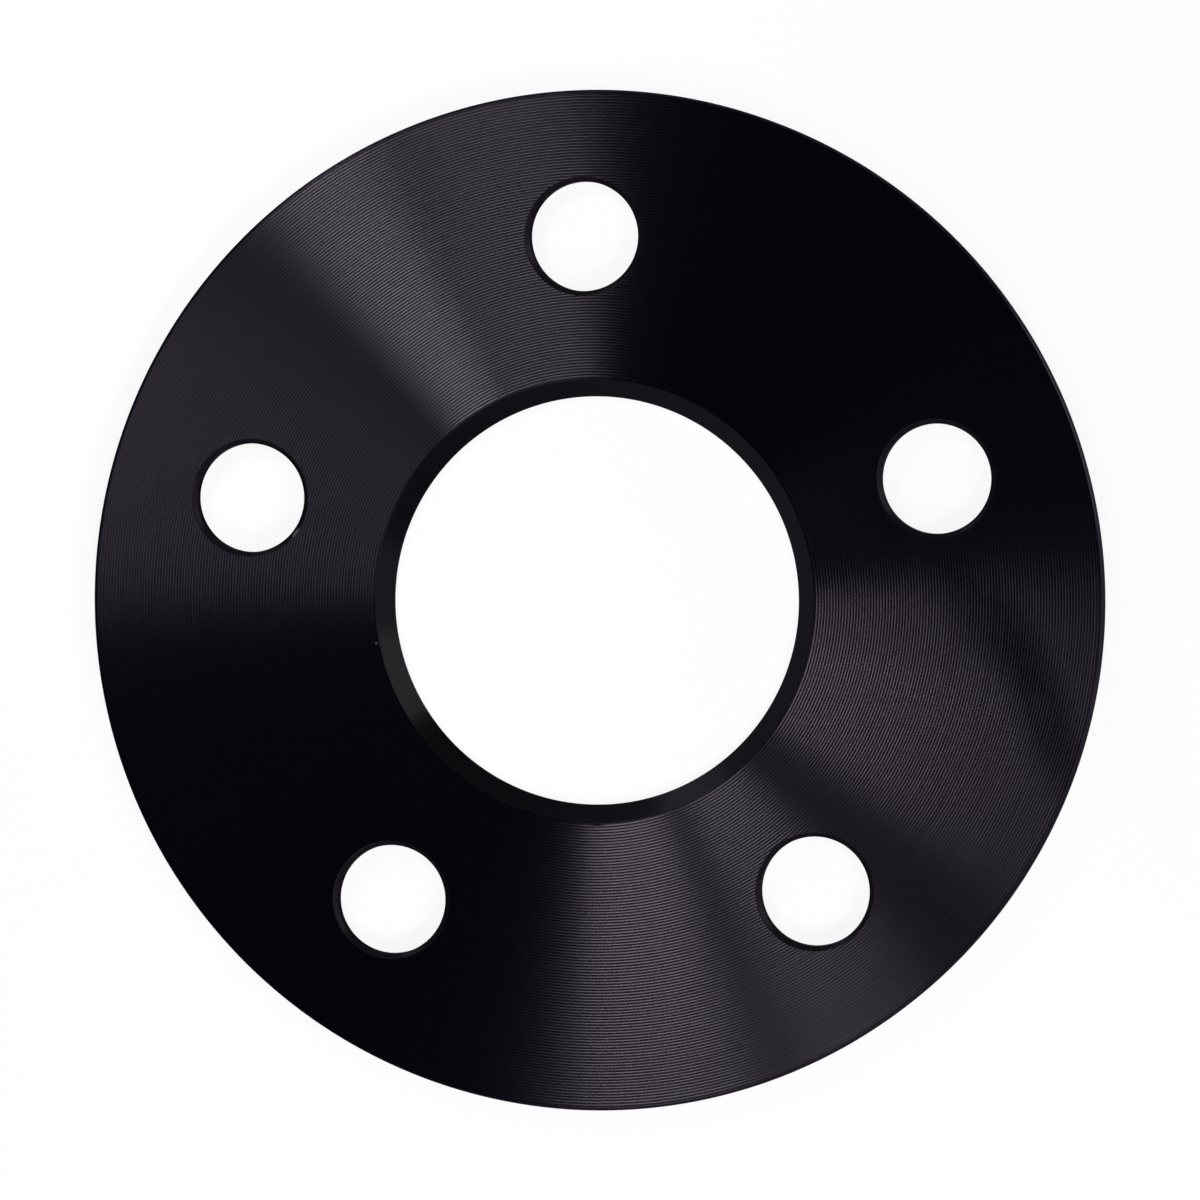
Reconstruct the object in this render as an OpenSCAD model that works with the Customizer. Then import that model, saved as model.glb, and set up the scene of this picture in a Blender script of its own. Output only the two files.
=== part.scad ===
// Flat wheel spacer: a disc turned from one aluminium plate, drilled on a bolt circle and
// anodised black. It slips between a wheel hub and the wheel, and the bore centres it on the hub.
// It lies on its back face, with the turning axis along Z and the chamfered front face up.

/* [Disc] */
// Outer diameter of the disc
outer_d = 140; // [130:0.5:160]
// Thickness between the two clamping faces
thickness = 3; // [2:0.1:12]
// Chamfer at the front edge of the rim
rim_front_chamfer = 0.35; // [0.1:0.05:0.8]
// Edge break at the back edge of the rim
rim_back_break = 0.3; // [0.1:0.05:0.8]

/* [Hub bore] */
// Diameter of the bore that centres the disc on the hub
bore_d = 56.1; // [50:0.1:66]
// Straight length of the bore, the seat on the hub
bore_seat = 0.4; // [0.2:0.1:1.4]
// Radial width of the wide chamfer at the front of the bore
bore_chamfer_w = 2.4; // [0.5:0.1:5]
// Edge break at the back of the bore
bore_back_break = 0.2; // [0.1:0.05:0.4]

/* [Bolt holes] */
// Number of bolt holes
hole_count = 5; // [3:1:6]
// Diameter of the circle through the hole centres
bolt_circle_d = 100; // [98:0.1:112]
// Diameter of each bolt hole
hole_d = 15; // [12:0.1:18]
// Chamfer at the front of each bolt hole
hole_front_chamfer = 0.6; // [0.1:0.05:0.9]
// Edge break at the back of each bolt hole
hole_back_break = 0.3; // [0.1:0.05:0.9]

/* [Hidden] */
$fn = 180;

outer_r = outer_d / 2;
bore_r = bore_d / 2;
hole_r = hole_d / 2;
bolt_circle_r = bolt_circle_d / 2;
// The chamfer takes up the bore's whole depth above the seat
bore_chamfer_z = bore_back_break + bore_seat;
// The first hole is at the top of the disc, on +Y
first_hole_angle = 90;
hole_step_angle = 360 / hole_count;
// Overrun of each cutter past the face that it leaves
cut_clear = 1;
anodised_black = [0.05, 0.05, 0.06];

// Half section of the turned disc: radius along X, height along Y
function disc_section() = [
    [bore_r, bore_back_break],
    [bore_r + bore_back_break, 0],
    [outer_r - rim_back_break, 0],
    [outer_r, rim_back_break],
    [outer_r, thickness - rim_front_chamfer],
    [outer_r - rim_front_chamfer, thickness],
    [bore_r + bore_chamfer_w, thickness],
    [bore_r, bore_chamfer_z]
];

// Half section of what the drill and the countersink take out, at 45 degrees on both faces
function hole_section() = [
    [0, -cut_clear],
    [hole_r + hole_back_break + cut_clear, -cut_clear],
    [hole_r, hole_back_break],
    [hole_r, thickness - hole_front_chamfer],
    [hole_r + hole_front_chamfer + cut_clear, thickness + cut_clear],
    [0, thickness + cut_clear]
];

// One cut per bolt hole, evenly spaced round the bolt circle
module bolt_holes() {
    for (i = [0 : hole_count - 1])
        rotate(first_hole_angle + i * hole_step_angle)
            translate([bolt_circle_r, 0, 0])
                rotate_extrude()
                    polygon(hole_section());
}

module spacer_disc() {
    color(anodised_black)
        difference() {
            rotate_extrude()
                polygon(disc_section());
            bolt_holes();
        }
}

spacer_disc();
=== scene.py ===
"""Flat wheel spacer: one turned, drilled and black anodised aluminium disc on a white sweep."""

import logging
import math
from dataclasses import dataclass, replace
from enum import Enum
from typing import Any, Mapping, Optional, Sequence, Union

import bpy
import numpy as np
from mathutils import Matrix, Vector


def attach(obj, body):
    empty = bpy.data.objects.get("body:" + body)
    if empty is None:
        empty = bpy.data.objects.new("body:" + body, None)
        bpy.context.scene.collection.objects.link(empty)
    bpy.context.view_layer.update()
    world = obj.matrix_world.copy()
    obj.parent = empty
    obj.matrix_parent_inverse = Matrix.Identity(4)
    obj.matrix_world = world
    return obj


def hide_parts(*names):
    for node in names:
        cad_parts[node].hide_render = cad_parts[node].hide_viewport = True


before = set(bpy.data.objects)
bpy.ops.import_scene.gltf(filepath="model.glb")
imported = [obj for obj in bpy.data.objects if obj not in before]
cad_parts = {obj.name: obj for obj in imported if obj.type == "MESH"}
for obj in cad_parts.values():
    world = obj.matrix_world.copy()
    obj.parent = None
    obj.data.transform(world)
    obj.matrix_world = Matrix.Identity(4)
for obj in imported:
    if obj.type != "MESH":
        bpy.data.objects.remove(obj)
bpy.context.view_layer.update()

LOG = logging.getLogger("wheel_spacer")
MM = 0.001
Colour = tuple[float, float, float]
BLACK: Colour = (0.0, 0.0, 0.0)
WHITE: Colour = (1.0, 1.0, 1.0)
# The sockets of a Mix node that mixes colours: its factor, its two colours and its result
MIX_FACTOR, MIX_FIRST, MIX_SECOND, MIX_RESULT = 0, 6, 7, 2
# A mark fades from full to nothing between these shares of its half size
MARK_FULL, MARK_END = 0.5, 1.5
# How fast a surface stops counting as a wall as it turns to face up or down
WALL_FALL = 1.5


class Zone(Enum):
    """The parts of the disc that are cut by different tools, each with its own material slot."""

    FACE = 0
    RIM = 1
    BORE = 2
    DRILLED = 3


class Turn(Enum):
    """Which side of a carried profile is metal: outside the path's circle or inside it."""

    RIM = 1
    BORE = -1


class Term:
    """A shader value that stands in arithmetic: each operator adds one Math node."""

    def __init__(self, bench: "NodeBench", socket: bpy.types.NodeSocket) -> None:
        """Keep the socket and the bench that it belongs to."""
        self.bench = bench
        self.socket = socket

    def math(self, operation: str, *terms: "Value") -> "Term":
        """Add one Math node.

        Args:
            operation: Blender's name of the operation.
            terms: the values that it works on, in their order.

        Returns:
            The node's result.
        """
        made = self.bench.node("ShaderNodeMath", {"operation": operation}, dict(enumerate(terms)))
        return Term(self.bench, made.outputs[0])

    def __add__(self, other: "Value") -> "Term":
        """This value plus another."""
        return self.math("ADD", self, other)

    def __radd__(self, other: "Value") -> "Term":
        """Another value plus this one."""
        return self.math("ADD", other, self)

    def __sub__(self, other: "Value") -> "Term":
        """This value less another."""
        return self.math("SUBTRACT", self, other)

    def __rsub__(self, other: "Value") -> "Term":
        """Another value less this one."""
        return self.math("SUBTRACT", other, self)

    def __mul__(self, other: "Value") -> "Term":
        """This value times another."""
        return self.math("MULTIPLY", self, other)

    def __truediv__(self, other: "Value") -> "Term":
        """This value divided by another."""
        return self.math("DIVIDE", self, other)

    def __pow__(self, other: "Value") -> "Term":
        """This value to a power."""
        return self.math("POWER", self, other)

    def sine(self) -> "Term":
        """The sine of this value in radians."""
        return self.math("SINE", self)

    def size(self) -> "Term":
        """This value without its sign."""
        return self.math("ABSOLUTE", self)

    def larger(self, other: "Value") -> "Term":
        """The larger of this value and another."""
        return self.math("MAXIMUM", self, other)

    def smaller(self, other: "Value") -> "Term":
        """The smaller of this value and another."""
        return self.math("MINIMUM", self, other)

    def held(self) -> "Term":
        """This value held between 0 and 1."""
        return self.larger(0.0).smaller(1.0)


Value = Union[Term, float]


class NodeBench:
    """The node tree of one material or world, and the one method that adds nodes to it."""

    def __init__(self, tree: bpy.types.NodeTree) -> None:
        """Take an empty tree."""
        tree.nodes.clear()
        self.tree = tree

    def node(
        self,
        kind: str,
        settings: Optional[Mapping[str, Any]] = None,
        inputs: Optional[Mapping[Any, Any]] = None,
    ) -> bpy.types.Node:
        """Add one node.

        Args:
            kind: the node's Blender type.
            settings: its properties, which are set before its sockets.
            inputs: a number, a colour, a Term or a socket for each input, by name or place.

        Returns:
            The new node.
        """
        made = self.tree.nodes.new(kind)
        for key, value in (settings or {}).items():
            setattr(made, key, value)
        for key, value in (inputs or {}).items():
            if isinstance(value, Term):
                self.tree.links.new(value.socket, made.inputs[key])
            elif isinstance(value, bpy.types.NodeSocket):
                self.tree.links.new(value, made.inputs[key])
            else:
                made.inputs[key].default_value = value
        return made

    def term(self, node: bpy.types.Node, output: Any = 0) -> Term:
        """One output of a node as a Term."""
        return Term(self, node.outputs[output])

    def vector(self, operation: str, *parts: Any) -> bpy.types.NodeSocket:
        """Add one Vector Math node, and give its vector result."""
        made = self.node("ShaderNodeVectorMath", {"operation": operation}, dict(enumerate(parts)))
        return made.outputs[0]

    def split(self, vector: bpy.types.NodeSocket) -> tuple[Term, Term, Term]:
        """The three parts of a vector."""
        made = self.node("ShaderNodeSeparateXYZ", inputs={0: vector})
        return self.term(made, "X"), self.term(made, "Y"), self.term(made, "Z")

    def noise(self, place: Term, per_metre: float, detail: float) -> Term:
        """Noise along one line.

        Args:
            place: the place on the line, in metres.
            per_metre: how many bumps there are to the metre.
            detail: how many finer layers are added.

        Returns:
            A value about 0.5, from 0 to 1.
        """
        made = self.node(
            "ShaderNodeTexNoise",
            {"noise_dimensions": "1D"},
            {"W": place, "Scale": per_metre, "Detail": detail},
        )
        return self.term(made)

    def blend(self, share: Value, first: Any, second: Any) -> bpy.types.NodeSocket:
        """Mix two colours, the first at share 0 and the second at share 1."""
        made = self.node(
            "ShaderNodeMix",
            {"data_type": "RGBA"},
            {MIX_FACTOR: share, MIX_FIRST: first, MIX_SECOND: second},
        )
        return made.outputs[MIX_RESULT]

    def surface(self, shader: bpy.types.Node, output: str = "ShaderNodeOutputMaterial") -> None:
        """Make a shader the tree's result."""
        self.node(output, inputs={"Surface": shader.outputs[0]})


def new_material(name: str) -> tuple[bpy.types.Material, NodeBench]:
    """Make a material with an empty node tree.

    Args:
        name: the material's name.

    Returns:
        The material, and the bench that its nodes go on.
    """
    made = bpy.data.materials.new(name)
    made.use_nodes = True
    return made, NodeBench(made.node_tree)


def opaque(colour: Colour) -> tuple[float, float, float, float]:
    """A colour with full alpha, as colour sockets take it."""
    return (*colour, 1.0)


def wall_share(rise: Term) -> Term:
    """1 on upright walls, 0 on chamfers and faces, from how far the surface faces up."""
    return (1.0 - rise.size() * WALL_FALL).larger(0.0)


@dataclass(frozen=True)
class Mark:
    """A flaw in the finish, or painted shade: a soft oval on the disc's plane, turned to a bearing.
    """

    x: float
    y: float
    length: float
    width: float
    bearing: float
    strength: float = 1.0

    @classmethod
    def in_mm(
        cls, x: float, y: float, length: float, width: float, bearing: float, strength: float = 1.0
    ) -> "Mark":
        """A mark whose place and size are in millimetres."""
        return cls(x * MM, y * MM, length * MM, width * MM, bearing, strength)

    def share(self, x: Term, y: Term) -> Term:
        """How much of a place the mark covers.

        With d the distance from the middle, counted in half lengths along the mark and in half
        widths across it, the share falls from 1 where the mark is full to 0 where it ends, and is
        then multiplied by the strength.

        Args:
            x: the place along the first axis.
            y: the place along the second axis.

        Returns:
            The share.
        """
        bearing = math.radians(self.bearing)
        cosine, sine = math.cos(bearing), math.sin(bearing)
        right, up = x - self.x, y - self.y
        along = (right * cosine + up * sine) / (self.length / 2)
        across = (up * cosine - right * sine) / (self.width / 2)
        distance = (along * along + across * across) ** 0.5
        return ((MARK_END - distance) / (MARK_END - MARK_FULL)).held() * self.strength


@dataclass(frozen=True)
class Grooves:
    """What turned grooves do at a place: lean the normal, lie high or low, and wear the dye."""

    normal: bpy.types.NodeSocket
    valley: Term
    wear: Term


@dataclass(frozen=True)
class TurnedFinish:
    """Black anodised aluminium with turned grooves about the disc's axis.

    The grooves are saw-toothed, so their flanks lean outwards. The lean grows less towards the rim,
    where the tool was set for a lighter cut. Painted shade takes the sheen out along the valleys of
    the grooves, the score marks take it too, and soft streaks of painted shade take part of it.
    Nicks show bare metal. On an edge the sheen comes off the metal under the dyed layer, so the dye
    gives its strength, and the sheen tint what is left of it at a slant.
    """

    name: str
    dye: Colour = (0.0008, 0.0007, 0.0026)
    dye_worn: Colour = (0.0016, 0.0015, 0.0040)
    wall_dye: Colour = (0.030, 0.027, 0.033)
    sheen_tint: Colour = (1.03, 0.90, 1.10)
    metal: float = 0.0
    # How much painted shade takes the sheen out along the groove valleys
    valley_painted_shade: float = 0.0
    gloss: float = 0.723
    roughness: float = 0.295
    roughness_spread: float = 0.012
    wall_roughness: float = 0.75
    anisotropy: float = 0.9
    anisotropy_turn: float = 0.25
    groove_pitch: float = 0.40 * MM
    groove_slope: float = 0.34
    groove_unevenness: float = 0.2
    groove_wander: float = 3.0
    wear_per_groove: float = 0.7
    wear_detail: float = 1.0
    bands_per_groove: float = 0.04
    band_detail: float = 3.0
    band_slope: float = 0.03
    lean_at_middle: float = 0.10
    lean_per_metre: float = -7.5
    middle_r: float = 50.0 * MM
    climb: float = 0.0
    bare_metal: Colour = (0.22, 0.22, 0.22)
    # Marks that take the sheen: a real score, and soft ovals of painted shade
    scores_and_painted_shade: tuple[Mark, ...] = ()
    nicks: tuple[Mark, ...] = ()

    def grooves(self, bench: NodeBench, place: bpy.types.Node) -> Grooves:
        """Cut the grooves.

        The run is the radius, less the height times the climb, so that it also grows along a
        chamfer. The slope is the lean plus a sine of the run, whose depth and phase wander with two
        noises. The normal is the surface's own plus the slope times the section's direction.

        Args:
            bench: the material's bench.
            place: its texture coordinates.

        Returns:
            The grooves.
        """
        x, y, z = bench.split(place.outputs["Object"])
        radius = (x * x + y * y) ** 0.5
        out_x, out_y = x / radius, y / radius
        facing_x, facing_y, rise = bench.split(place.outputs["Normal"])
        outwards = facing_x * out_x + facing_y * out_y
        along = bench.node(
            "ShaderNodeCombineXYZ", inputs={0: out_x * rise, 1: out_y * rise, 2: outwards * -1.0}
        )
        run = radius - z * self.climb
        wear = bench.noise(run, self.wear_per_groove / self.groove_pitch, self.wear_detail)
        band = bench.noise(run, self.bands_per_groove / self.groove_pitch, self.band_detail)
        phase = run * (2 * math.pi / self.groove_pitch) + band * self.groove_wander
        depth = (wear - 0.5) * (2 * self.groove_unevenness) + 1.0
        lean = (radius - self.middle_r) * self.lean_per_metre + self.lean_at_middle
        slope = lean + phase.sine() * depth * self.groove_slope + (band - 0.5) * self.band_slope
        leant = bench.node(
            "ShaderNodeVectorMath",
            {"operation": "SCALE"},
            {0: along.outputs[0], "Scale": slope},
        )
        summed = bench.vector("ADD", place.outputs["Normal"], leant.outputs[0])
        turned = bench.node(
            "ShaderNodeVectorTransform",
            {"vector_type": "NORMAL", "convert_from": "OBJECT", "convert_to": "WORLD"},
            {0: bench.vector("NORMALIZE", summed)},
        )
        return Grooves(turned.outputs[0], (phase + math.pi / 2).sine() * depth, wear)

    def material(self) -> bpy.types.Material:
        """Make the material.

        Returns:
            A Principled material whose normal leans along the disc's section with each groove.
        """
        made, bench = new_material(self.name)
        place = bench.node("ShaderNodeTexCoord")
        grooves = self.grooves(bench, place)
        x, y, _ = bench.split(place.outputs["Object"])
        wall = wall_share(bench.split(place.outputs["Normal"])[2])
        matt = self.roughness + wall * (self.wall_roughness - self.roughness)
        colour = bench.blend(grooves.wear, opaque(self.dye), opaque(self.dye_worn))
        colour = bench.blend(wall, colour, opaque(self.wall_dye))
        for mark in self.nicks:
            colour = bench.blend(mark.share(x, y), colour, opaque(self.bare_metal))
        metal: Value = self.metal
        # Painted shade: the sheen is taken out along the groove valleys, by the score marks and by
        # the streaks of painted shade
        if self.valley_painted_shade:
            sheen = 1.0 - (grooves.valley + 1.0) * self.valley_painted_shade
            for mark in self.scores_and_painted_shade:
                sheen = sheen * (1.0 - mark.share(x, y))
            metal = (1.0 - sheen).held()
        shader = bench.node(
            "ShaderNodeBsdfPrincipled",
            inputs={
                "Base Color": colour,
                "Roughness": grooves.valley * self.roughness_spread + matt,
                "Metallic": metal,
                "Normal": grooves.normal,
                "Specular IOR Level": self.gloss,
                "Specular Tint": opaque(self.sheen_tint),
                "Anisotropic": self.anisotropy,
                "Anisotropic Rotation": self.anisotropy_turn,
            },
        )
        bench.surface(shader)
        return made


@dataclass(frozen=True)
class DrilledFinish:
    """Black anodised aluminium as a drill and a countersink leave it: dull and faintly mottled."""

    name: str
    dye: Colour = (0.0110, 0.0097, 0.0130)
    dye_pale: Colour = (0.0200, 0.0180, 0.0230)
    wall_dye: Colour = (0.030, 0.027, 0.033)
    bare_metal: Colour = (0.18, 0.175, 0.185)
    sheen_tint: Colour = (0.0, 0.0, 0.0)
    metal: float = 0.55
    wall_metal: float = 0.85
    gloss: float = 0.0
    roughness: float = 0.30
    wall_roughness: float = 0.42
    roughness_spread: float = 0.12
    mottle_per_metre: float = 900.0
    mottle_detail: float = 3.0
    knocks: tuple[Mark, ...] = ()

    def material(self) -> bpy.types.Material:
        """Make the material.

        Returns:
            A Principled material with its tone and roughness mottled.
        """
        made, bench = new_material(self.name)
        place = bench.node("ShaderNodeTexCoord")
        cloud = bench.node(
            "ShaderNodeTexNoise",
            inputs={
                "Vector": place.outputs["Object"],
                "Scale": self.mottle_per_metre,
                "Detail": self.mottle_detail,
            },
        )
        mottle = bench.term(cloud)
        wall = wall_share(bench.split(place.outputs["Normal"])[2])
        colour = bench.blend(mottle, opaque(self.dye), opaque(self.dye_pale))
        colour = bench.blend(wall, colour, opaque(self.wall_dye))
        x, y, _ = bench.split(place.outputs["Object"])
        knocked = sum(mark.share(x, y) for mark in self.knocks)
        colour = bench.blend(knocked, colour, opaque(self.bare_metal))
        matt = self.roughness + wall * (self.wall_roughness - self.roughness)
        sheen = self.metal + wall * (self.wall_metal - self.metal)
        shader = bench.node(
            "ShaderNodeBsdfPrincipled",
            inputs={
                "Base Color": colour,
                "Roughness": (mottle - 0.5) * self.roughness_spread + matt,
                "Metallic": (1.0 - knocked) * sheen,
                "Specular IOR Level": self.gloss,
                "Specular Tint": opaque(self.sheen_tint),
            },
        )
        bench.surface(shader)
        return made


Finish = Union[TurnedFinish, DrilledFinish]


@dataclass
class Patch:
    """A grid of points with the way that each one faces and its place on the bake map."""

    points: np.ndarray
    normals: np.ndarray
    places: np.ndarray
    zone: Zone
    flipped: bool

    def quads(self) -> np.ndarray:
        """The four corners of each cell.

        Returns:
            Point numbers, four to a row. A cell runs along the first axis of the grid and then
            along the second, or the other way round where the patch is flipped.
        """
        rows, columns = self.points.shape[:2]
        number = np.arange(rows * columns).reshape(rows, columns)
        corners = [number[:-1, :-1], number[1:, :-1], number[1:, 1:], number[:-1, 1:]]
        cells = np.stack(corners, -1).reshape(-1, 4)
        return cells[:, ::-1] if self.flipped else cells


def welded_mesh(name: str, patches: Sequence[Patch], weld: float = 1e-8) -> bpy.types.Mesh:
    """Join patches into one closed mesh.

    Points that round to the same step of the weld distance become one point. Each corner keeps the
    map place of its own patch, so the map may have seams where the mesh has none.

    Args:
        name: the mesh's name.
        patches: the grids to join, whose borders share their points.
        weld: how near two points are to be one, in metres.

    Returns:
        The mesh, smooth, with the patches' own normals and one map.
    """
    points = np.concatenate([p.points.reshape(-1, 3) for p in patches])
    normals = np.concatenate([p.normals.reshape(-1, 3) for p in patches])
    places = np.concatenate([p.places.reshape(-1, 2) for p in patches])
    starts = np.cumsum([0] + [p.points.shape[0] * p.points.shape[1] for p in patches])
    quads = np.concatenate([p.quads() + start for p, start in zip(patches, starts)])
    zones = np.concatenate([np.full(len(p.quads()), p.zone.value) for p in patches])
    steps = np.round(points / weld).astype(np.int64)
    _, first, joined = np.unique(steps, axis=0, return_index=True, return_inverse=True)
    joined = joined.reshape(-1)

    mesh = bpy.data.meshes.new(name)
    mesh.from_pydata(points[first].tolist(), [], joined[quads].tolist())
    mesh.polygons.foreach_set("material_index", zones.astype(np.int32))
    mesh.polygons.foreach_set("use_smooth", np.ones(len(quads), bool))
    layer = mesh.uv_layers.new(name="OFBake")
    layer.uv.foreach_set("vector", places[quads.ravel()].astype(np.float32).ravel())
    mesh.normals_split_custom_set_from_vertices(normals[first].tolist())
    mesh.update()
    return mesh


def rounded_profile(
    corners: np.ndarray, radius: float, steps: int
) -> tuple[np.ndarray, np.ndarray]:
    """Round the corners of a section.

    Each inner corner c becomes the curve c + t((1 - s)^2 a + s^2 b), where a and b point to the
    neighbouring corners, s runs from 0 to 1, and t is the radius times the tangent of half the
    turn.

    Args:
        corners: radius and height of each corner. The first and last lie on the flat faces and
            only give the direction there.
        radius: the radius of each rounded corner.
        steps: how many steps each rounded corner has.

    Returns:
        The section's points, and its unit direction at each of them.
    """
    middle = corners[1:-1, None]
    back = corners[:-2, None] - middle
    ahead = corners[2:, None] - middle
    back = back / np.linalg.norm(back, axis=-1, keepdims=True)
    ahead = ahead / np.linalg.norm(ahead, axis=-1, keepdims=True)
    turn = np.arccos(np.clip(-(back * ahead).sum(-1, keepdims=True), -1.0, 1.0))
    reach = radius * np.tan(turn / 2)
    s = np.linspace(0.0, 1.0, steps + 1)[None, :, None]
    points = middle + reach * ((1 - s) ** 2 * back + s**2 * ahead)
    heading = s * ahead - (1 - s) * back
    heading = heading / np.linalg.norm(heading, axis=-1, keepdims=True)
    return points.reshape(-1, 2), heading.reshape(-1, 2)


def carried_round(
    section: np.ndarray, heading: np.ndarray, angles: np.ndarray, centre: np.ndarray, turn: Turn
) -> tuple[np.ndarray, np.ndarray]:
    """Carry a section round a circle.

    A point of the section at radius r and height z goes to centre + (r cos a, r sin a, z) for each
    angle a, and its normal is the section's heading turned a quarter.

    Args:
        section: radius and height of each point.
        heading: the section's unit direction at each point.
        angles: the angles of the path, in radians.
        centre: the circle's centre.
        turn: which side the metal is on.

    Returns:
        The points and their outward normals, on a grid of angles by section points.
    """
    across, up = np.cos(angles)[:, None], np.sin(angles)[:, None]
    r, z = section[None, :, 0], section[None, :, 1]
    points = np.stack([r * across, r * up, z + 0 * across], -1) + centre
    out, rise = -turn.value * heading[None, :, 1], turn.value * heading[None, :, 0]
    normals = np.stack([out * across, out * up, rise + 0 * across], -1)
    return points, normals


@dataclass(frozen=True)
class MapRow:
    """A row of the bake map, from its lowest to its highest place."""

    low: float
    high: float

    def at(self, share: np.ndarray) -> np.ndarray:
        """The places at shares of the row's height."""
        return self.low + (self.high - self.low) * share


def length_share(section: np.ndarray) -> np.ndarray:
    """How far along a section each of its points is, from 0 to 1."""
    steps = np.linalg.norm(np.diff(section, axis=0), axis=1)
    along = np.concatenate([[0.0], np.cumsum(steps)])
    return along / along[-1]


@dataclass
class SpacerDisc:
    """The disc: two flat faces, the rim, the hub bore with its wide chamfer, and the bolt holes."""

    outer_r: float = 70.0 * MM
    thickness: float = 3.0 * MM
    rim_front_chamfer: float = 0.35 * MM
    rim_back_break: float = 0.3 * MM
    bore_r: float = 28.05 * MM
    bore_chamfer_w: float = 2.4 * MM
    bore_chamfer_z: float = 0.6 * MM
    bore_back_break: float = 0.2 * MM
    hole_count: int = 5
    first_hole_angle: float = math.radians(90.0)
    bolt_circle_r: float = 50.0 * MM
    hole_r: float = 7.5 * MM
    hole_front_chamfer: float = 0.6 * MM
    hole_back_break: float = 0.3 * MM
    edge_round: float = 0.16 * MM
    edge_steps: int = 5
    rim_steps: int = 90
    bore_steps: int = 60
    side_steps: int = 36
    face_steps: int = 6
    front_row: MapRow = MapRow(0.01, 0.50)
    back_row: MapRow = MapRow(0.52, 0.76)
    bore_row: MapRow = MapRow(0.78, 0.86)
    rim_row: MapRow = MapRow(0.88, 0.93)
    hole_row: MapRow = MapRow(0.95, 0.99)
    hole_gap: float = 0.02

    @property
    def sector_half(self) -> float:
        """Half the angle from one bolt hole to the next."""
        return math.pi / self.hole_count

    @property
    def hole_angles(self) -> np.ndarray:
        """The angle of each bolt hole."""
        return self.first_hole_angle + 2 * self.sector_half * np.arange(self.hole_count)

    def rim_section(self) -> tuple[np.ndarray, np.ndarray]:
        """The rounded section of the rim, from the front face to the back."""
        r, top = self.outer_r, self.thickness
        corners = [
            (self.bolt_circle_r, top),
            (r - self.rim_front_chamfer, top),
            (r, top - self.rim_front_chamfer),
            (r, self.rim_back_break),
            (r - self.rim_back_break, 0.0),
            (self.bolt_circle_r, 0.0),
        ]
        return rounded_profile(np.array(corners), self.edge_round, self.edge_steps)

    def bore_section(self) -> tuple[np.ndarray, np.ndarray]:
        """The rounded section of the bore, from the front face to the back."""
        r, top = self.bore_r, self.thickness
        corners = [
            (self.bolt_circle_r, top),
            (r + self.bore_chamfer_w, top),
            (r, self.bore_chamfer_z),
            (r, self.bore_back_break),
            (r + self.bore_back_break, 0.0),
            (self.bolt_circle_r, 0.0),
        ]
        return rounded_profile(np.array(corners), self.edge_round, self.edge_steps)

    def hole_section(self) -> tuple[np.ndarray, np.ndarray]:
        """The rounded section of a bolt hole about its own axis, from the front to the back."""
        r, top = self.hole_r, self.thickness
        corners = [
            (2 * r, top),
            (r + self.hole_front_chamfer, top),
            (r, top - self.hole_front_chamfer),
            (r, self.hole_back_break),
            (r + self.hole_back_break, 0.0),
            (2 * r, 0.0),
        ]
        return rounded_profile(np.array(corners), self.edge_round, self.edge_steps)

    def sector_border(self, inner_r: float, outer_r: float) -> np.ndarray:
        """The border of one hole's sector of a face, with the hole's centre on the first axis.

        It goes out along one side, round the rim, back along the other side and round the bore. The
        sides stand half a sector to the left and the right of the hole.

        Args:
            inner_r: the face's inner radius.
            outer_r: the face's outer radius.

        Returns:
            Points in the plane, the last the same as the first.
        """
        side, rim, bore = self.side_steps, self.rim_steps, self.bore_steps
        out = np.linspace(0.0, 1.0, side, endpoint=False)
        share = np.concatenate([out, np.ones(rim), 1.0 - out, np.zeros(bore + 1)])
        sweep = np.concatenate(
            [
                -np.ones(side),
                np.linspace(-1.0, 1.0, rim, endpoint=False),
                np.ones(side),
                np.linspace(1.0, -1.0, bore + 1),
            ]
        )
        r = inner_r + share * (outer_r - inner_r)
        angle = sweep * self.sector_half
        return np.stack([r * np.cos(angle), r * np.sin(angle)], -1)

    def hole_bearings(self) -> np.ndarray:
        """The direction of each point of the front face's border from the hole's centre."""
        border = self.sector_border(self.bore_section()[0][0, 0], self.rim_section()[0][0, 0])
        bearing = np.arctan2(border[:, 1], border[:, 0] - self.bolt_circle_r)
        return np.unwrap(bearing)

    def face(self, front: bool) -> list[Patch]:
        """One flat face, as a patch round each bolt hole.

        A point at share v lies on the straight line from the hole's edge, v = 0, to the sector's
        border, v = 1, at (1 - v) hole(u) + v border(u) for each place u round the hole.

        Args:
            front: True for the front face, False for the back.

        Returns:
            The patches.
        """
        end = 0 if front else -1
        height, row = (self.thickness, self.front_row) if front else (0.0, self.back_row)
        inner_r, outer_r = self.bore_section()[0][end, 0], self.rim_section()[0][end, 0]
        edge_r = self.hole_section()[0][end, 0]
        bearing = self.hole_bearings()
        hole = edge_r * np.stack([np.cos(bearing), np.sin(bearing)], -1)
        hole = hole + np.array([self.bolt_circle_r, 0.0])
        border = self.sector_border(inner_r, outer_r)
        v = np.linspace(0.0, 1.0, self.face_steps + 1)[None, :, None]
        flat = (1 - v) * hole[:, None] + v * border[:, None]
        radius = np.hypot(flat[..., 0], flat[..., 1])
        sweep = np.arctan2(flat[..., 1], flat[..., 0]) / (2 * self.sector_half) + 0.5
        patches = []
        for place, angle in enumerate(self.hole_angles):
            cosine, sine = math.cos(angle), math.sin(angle)
            turned = flat @ np.array([[cosine, sine], [-sine, cosine]])
            points = np.concatenate([turned, np.full_like(turned[..., :1], height)], -1)
            normals = np.zeros_like(points)
            normals[..., 2] = 1.0 if front else -1.0
            across = (place + sweep) / self.hole_count
            across = 1.0 - across if front else across
            places = np.stack([across, row.at((radius - inner_r) / (outer_r - inner_r))], -1)
            patches.append(Patch(points, normals, places, Zone.FACE, flipped=front))
        return patches

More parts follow.
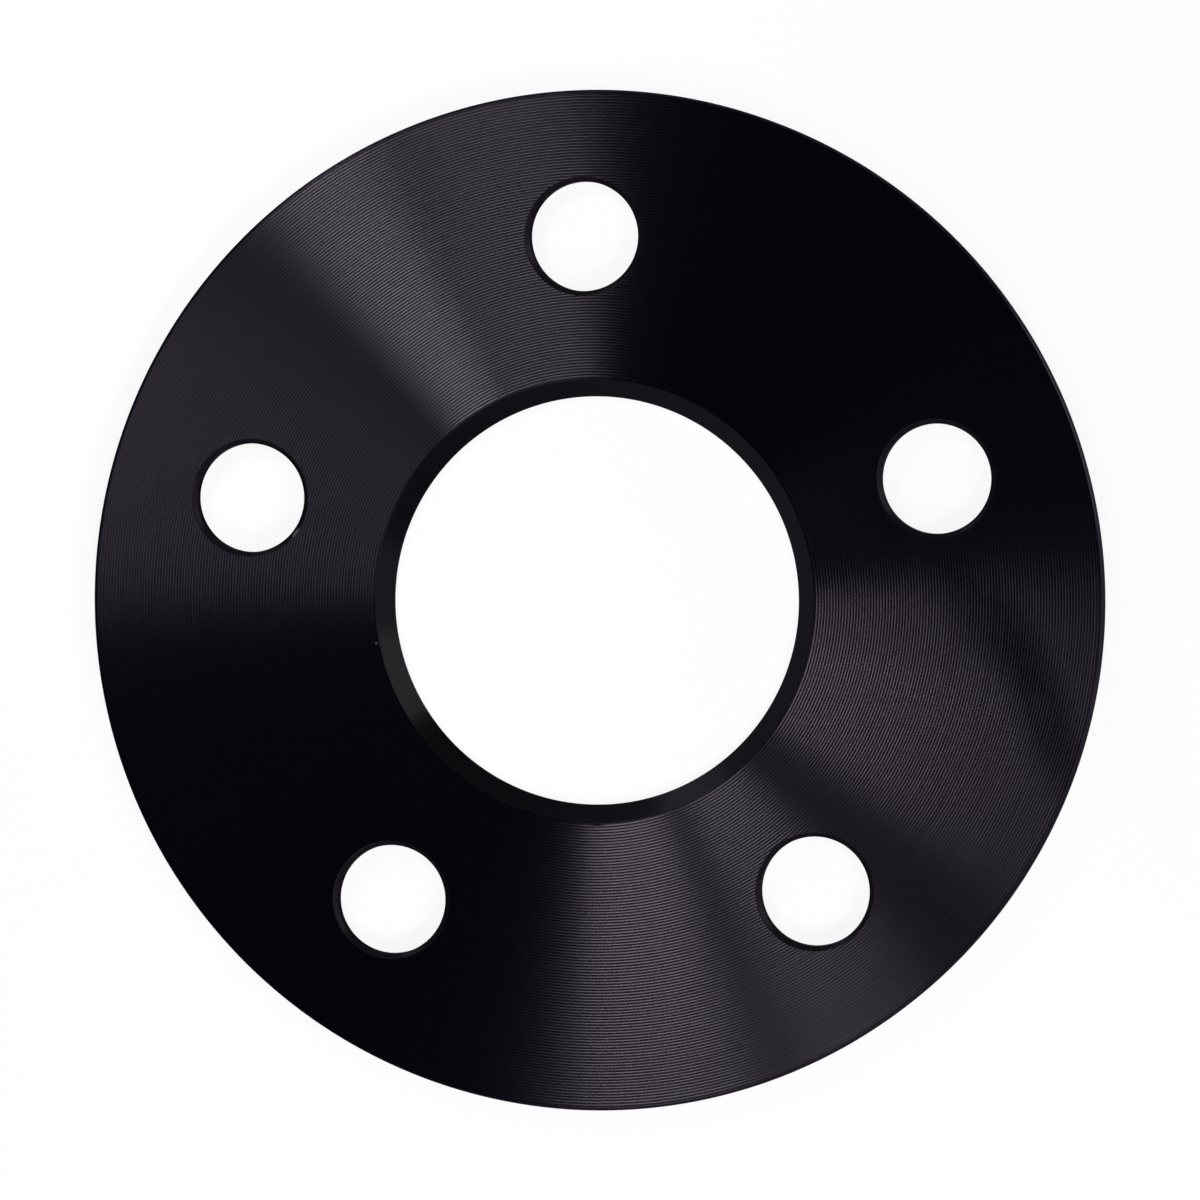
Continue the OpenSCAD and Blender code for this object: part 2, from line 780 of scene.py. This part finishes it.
    def edge(self, turn: Turn) -> Patch:
        """The rim or the bore, its section carried round the disc's axis.

        Args:
            turn: which of the two.

        Returns:
            The patch.
        """
        rim = turn is Turn.RIM
        section, heading = self.rim_section() if rim else self.bore_section()
        row = self.rim_row if rim else self.bore_row
        steps = self.hole_count * (self.rim_steps if rim else self.bore_steps)
        round_share = np.linspace(0.0, 1.0, steps + 1)
        angles = self.first_hole_angle - self.sector_half + 2 * math.pi * round_share
        points, normals = carried_round(section, heading, angles, np.zeros(3), turn)
        along = length_share(section)
        height = row.at(1 - along if rim else along)
        places = np.stack(np.broadcast_arrays(round_share[:, None], height), -1)
        return Patch(points, normals, places, Zone.RIM if rim else Zone.BORE, flipped=rim)

    def holes(self) -> list[Patch]:
        """The bolt holes, their section carried round each hole's own axis.

        Returns:
            A patch for each hole.
        """
        section, heading = self.hole_section()
        bearing = self.hole_bearings()
        round_share = (bearing - bearing[0]) / (bearing[-1] - bearing[0])
        height = self.hole_row.at(length_share(section))
        patches = []
        for place, angle in enumerate(self.hole_angles):
            centre = self.bolt_circle_r * np.array([math.cos(angle), math.sin(angle), 0.0])
            points, normals = carried_round(section, heading, bearing + angle, centre, Turn.BORE)
            across = self.hole_gap + (1 - 2 * self.hole_gap) * round_share
            across = (place + across) / self.hole_count
            places = np.stack(np.broadcast_arrays(across[:, None], height), -1)
            patches.append(Patch(points, normals, places, Zone.DRILLED, flipped=False))
        return patches

    def build(self) -> bpy.types.Object:
        """Make the disc's object.

        Returns:
            The object, at the origin, with its place in its mesh.
        """
        faces = self.face(True) + self.face(False)
        patches = faces + [self.edge(Turn.RIM), self.edge(Turn.BORE)] + self.holes()
        mesh = welded_mesh("turned_disc", patches)
        disc = bpy.data.objects.new("turned_disc", mesh)
        bpy.context.scene.collection.objects.link(disc)
        return disc

    def finishes(self) -> dict[Zone, Finish]:
        """Choose the finish of each zone.

        The face has a short score below the bore, a long bent streak of painted shade at its outer
        right, painted shade along its groove valleys, and two nicks at the edge of the bore. The
        hole at the left has a knock on its edge.

        Returns:
            The finishes.
        """
        face = TurnedFinish(
            "turned_face_anodised",
            # Painted shade takes part of the sheen along each groove's valley
            valley_painted_shade=0.31,
            scores_and_painted_shade=(
                Mark.in_mm(-0.4, -30.75, 2.0, 0.2, 0.0),
                # Two soft ovals of painted shade, which take part of the sheen in a bent streak at
                # the outer right
                Mark.in_mm(61.8, -17.6, 26.0, 7.0, 111.0, strength=0.54),
                Mark.in_mm(54.3, -4.2, 18.0, 8.0, 131.0, strength=0.42),
            ),
            nicks=(
                Mark.in_mm(-30.38, -5.05, 0.34, 0.22, 15.0),
                Mark.in_mm(-30.84, -1.34, 0.16, 0.12, 0.0),
            ),
        )
        rim = TurnedFinish(
            "turned_rim_anodised",
            dye=(0.0160, 0.0146, 0.0216),
            dye_worn=(0.0185, 0.0168, 0.0246),
            sheen_tint=BLACK,
            metal=0.9,
            gloss=0.0,
            roughness=0.22,
            wall_roughness=0.42,
            anisotropy=0.3,
            groove_slope=0.04,
            lean_at_middle=0.0,
            lean_per_metre=0.0,
            climb=1.0,
        )
        bore = replace(
            rim,
            name="turned_bore_anodised",
            dye=(0.0103, 0.0096, 0.0128),
            dye_worn=(0.0117, 0.0109, 0.0144),
            sheen_tint=(0.5, 0.5, 0.5),
            metal=0.8,
            roughness=0.21,
            climb=-1.0,
        )
        drilled = DrilledFinish(
            "drilled_anodised", knocks=(Mark.in_mm(-41.15, 10.35, 1.3, 0.6, 51.0),)
        )
        return {Zone.FACE: face, Zone.RIM: rim, Zone.BORE: bore, Zone.DRILLED: drilled}

    def dress(self, disc: bpy.types.Object) -> None:
        """Give each zone of the disc its finish, in the order of the zones."""
        finishes = self.finishes()
        for zone in Zone:
            disc.data.materials.append(finishes[zone].material())


@dataclass(frozen=True)
class Sweep:
    """The white floor under the disc. The camera sees it as white paper with a soft shadow."""

    radius: float = 9.0
    drop: float = 0.02 * MM
    paper: Colour = (0.86, 0.86, 0.86)
    shade: float = 0.12
    shade_reach: float = 0.30
    lit_level: float = 0.72
    steps: int = 96

    def build(self) -> bpy.types.Object:
        """Make the floor.

        The point at share s and angle a is (R s cos a, R s sin a, -drop).

        Returns:
            The floor's object.
        """
        angle = np.linspace(0.0, 2 * math.pi, self.steps, endpoint=False)
        ring = np.stack([np.cos(angle), np.sin(angle), 0 * angle], -1)
        points = self.radius * ring - np.array([0.0, 0.0, self.drop])
        mesh = bpy.data.meshes.new("white_sweep")
        mesh.from_pydata(points.tolist(), [], [list(range(self.steps))])
        mesh.materials.append(self.material())
        floor = bpy.data.objects.new("white_sweep", mesh)
        bpy.context.scene.collection.objects.link(floor)
        return floor

    def material(self) -> bpy.types.Material:
        """Make the paper.

        The rays that show the background see plain white. Near the disc, a share of that white
        comes from the lamps instead, and so the disc's shadow shows there. The share fades with the
        square of the distance from the disc's axis.

        Returns:
            Diffuse white for the light, and plain white with a soft shadow for the eye.
        """
        made, bench = new_material("white_paper")
        x, y, _ = bench.split(bench.node("ShaderNodeTexCoord").outputs["Object"])
        near = (1.0 - (x * x + y * y) / self.shade_reach**2).larger(0.0)
        lit = bench.blend(near * (self.shade / self.lit_level), opaque(BLACK), opaque(WHITE))
        own = bench.blend(near * self.shade, opaque(WHITE), opaque(BLACK))
        paper = bench.node("ShaderNodeBsdfDiffuse", inputs={"Color": opaque(self.paper)})
        shaded = bench.node("ShaderNodeBsdfDiffuse", inputs={"Color": lit})
        glow = bench.node("ShaderNodeEmission", inputs={"Color": own, "Strength": 1.0})
        seen = bench.node("ShaderNodeAddShader", inputs={0: shaded.outputs[0], 1: glow.outputs[0]})
        mixed = bench.node(
            "ShaderNodeMixShader",
            inputs={0: shown_rays(bench), 1: paper.outputs[0], 2: seen.outputs[0]},
        )
        bench.surface(mixed)
        return made


def shown_rays(bench: NodeBench) -> Term:
    """1 for the rays that show the background, straight or in a reflection, and 0 for the rest."""
    path = bench.node("ShaderNodeLightPath")
    camera, glossy = bench.term(path, "Is Camera Ray"), bench.term(path, "Is Glossy Ray")
    return camera.larger(glossy).larger(bench.term(path, "Is Transmission Ray"))


@dataclass(frozen=True)
class StudioSky:
    """A dim room above, and a white wall low down all round."""

    room: Colour = (0.0150, 0.0146, 0.0270)
    wall_top: float = 0.06
    wall_fade: float = 0.04

    def build(self) -> bpy.types.World:
        """Make the world.

        Returns:
            The world, which the scene now uses.
        """
        world = bpy.data.worlds.new("studio_room")
        world.use_nodes = True
        bench = NodeBench(world.node_tree)
        rise = bench.split(bench.node("ShaderNodeTexCoord").outputs["Generated"])[2]
        wall = ((self.wall_top + self.wall_fade - rise) / self.wall_fade).held()
        colour = bench.blend(wall * shown_rays(bench), opaque(self.room), opaque(WHITE))
        sky = bench.node("ShaderNodeBackground", inputs={"Color": colour, "Strength": 1.0})
        bench.surface(sky, "ShaderNodeOutputWorld")
        bpy.context.scene.world = world
        return world


@dataclass(frozen=True)
class SoftBox:
    """One soft lamp of a ring of lamps about the disc, facing the disc's centre."""

    name: str
    azimuth: float
    spread: float
    level: float
    tint: Colour = WHITE
    distance: float = 0.90
    height: float = 0.25
    elevation: float = 38.0

    def build(self) -> bpy.types.Object:
        """Make the lamp.

        Its width is the chord of its spread, in degrees, on the ring, and its power is its level
        times its area.

        Returns:
            The lamp's object.
        """
        azimuth, elevation = math.radians(self.azimuth), math.radians(self.elevation)
        ring = self.distance * math.cos(elevation)
        width = 2 * ring * math.tan(math.radians(self.spread) / 2)
        light = bpy.data.lights.new(self.name, "AREA")
        light.shape = "RECTANGLE"
        light.size, light.size_y = width, self.height
        light.energy = self.level * width * self.height
        light.color = self.tint
        lamp = bpy.data.objects.new(self.name, light)
        bpy.context.scene.collection.objects.link(lamp)
        rise = self.distance * math.sin(elevation)
        place = Vector((ring * math.cos(azimuth), ring * math.sin(azimuth), rise))
        lamp.location = place
        lamp.rotation_euler = place.to_track_quat("Z", "Y").to_euler()
        lamp.visible_camera = False
        return lamp


@dataclass(frozen=True)
class PhotoCamera:
    """A long lens that looks down on the disc at the photograph's angle."""

    lens: float = 206.586
    sensor: float = 36.0
    target: tuple[float, float, float] = (0.917 * MM, 0.118 * MM, 3.0 * MM)
    distance: float = 943.653 * MM
    azimuth: float = math.radians(6.9726)
    elevation: float = math.radians(81.3099)
    roll: float = math.radians(-1.6082)

    def build(self) -> bpy.types.Object:
        """Make the camera.

        The camera looks back along its bearing at the target. Its right side starts level and then
        turns about the line of sight by the roll.

        Returns:
            The camera's object, which the scene now uses.
        """
        flat = math.cos(self.elevation)
        back = Vector(
            (flat * math.cos(self.azimuth), flat * math.sin(self.azimuth), math.sin(self.elevation))
        )
        level = Vector((0.0, 1.0, 0.0)).cross(back).normalized()
        upright = back.cross(level)
        right = level * math.cos(self.roll) + upright * math.sin(self.roll)
        up = back.cross(right)
        data = bpy.data.cameras.new("photo_camera")
        data.lens = self.lens
        data.sensor_width = self.sensor
        camera = bpy.data.objects.new("photo_camera", data)
        bpy.context.scene.collection.objects.link(camera)
        place = Vector(self.target) + back * self.distance
        turned = Matrix((right, up, back)).transposed().to_4x4()
        camera.matrix_world = Matrix.Translation(place) @ turned
        bpy.context.scene.camera = camera
        return camera


# Where the four lamps near the disc stand, and the two low ones that light its chamfers
NEAR = {"distance": 0.28, "height": 0.078}
LOW = {"height": 0.075, "elevation": 8.4}
RING = (
    SoftBox("lamp_upper", 109.0, 22.2, 15.3, (0.98, 1.0, 0.99), **NEAR),
    SoftBox("lamp_upper_left", 129.5, 12.5, 32.8, (0.96, 1.01, 0.97), **NEAR),
    SoftBox("lamp_left", 161.2, 36.6, 6.1, (0.95, 1.0, 1.08), **NEAR),
    SoftBox("lamp_lower", 267.1, 19.5, 29.0, (1.02, 1.0, 0.97), **NEAR),
    SoftBox("lamp_lower_right", 292.1, 17.8, 23.0, (1.0, 1.0, 1.02)),
    SoftBox("lamp_between", 313.5, 15.0, 2.6),
    SoftBox("lamp_right", 329.2, 24.6, 23.4, (1.07, 0.98, 1.01)),
    SoftBox("lamp_far_right", 350.0, 19.5, 16.4, (1.07, 0.97, 1.05)),
    SoftBox("lamp_low_right", 21.0, 28.0, 23.0, (1.0, 1.03, 0.84), **LOW),
    SoftBox("lamp_low_far_right", -7.0, 28.0, 8.0, **LOW),
    SoftBox("lamp_low_left", 125.0, 18.0, 19.0, height=0.08, elevation=5.0),
)


def main() -> None:
    """Build the camera, the stage, the lamps and the disc, in that order."""
    logging.basicConfig(level=logging.INFO, format="%(name)s: %(message)s")
    bpy.context.scene.view_settings.view_transform = "Standard"
    PhotoCamera().build()
    Sweep().build()
    StudioSky().build()
    for box in RING:
        box.build()
    spacer = SpacerDisc()
    disc = spacer.build()
    spacer.dress(disc)
    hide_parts("spacer_disc")
    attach(disc, "root")
    LOG.info("%s: %d faces, %d points", disc.name, len(disc.data.polygons), len(disc.data.vertices))


if __name__ == "__main__":
    main()
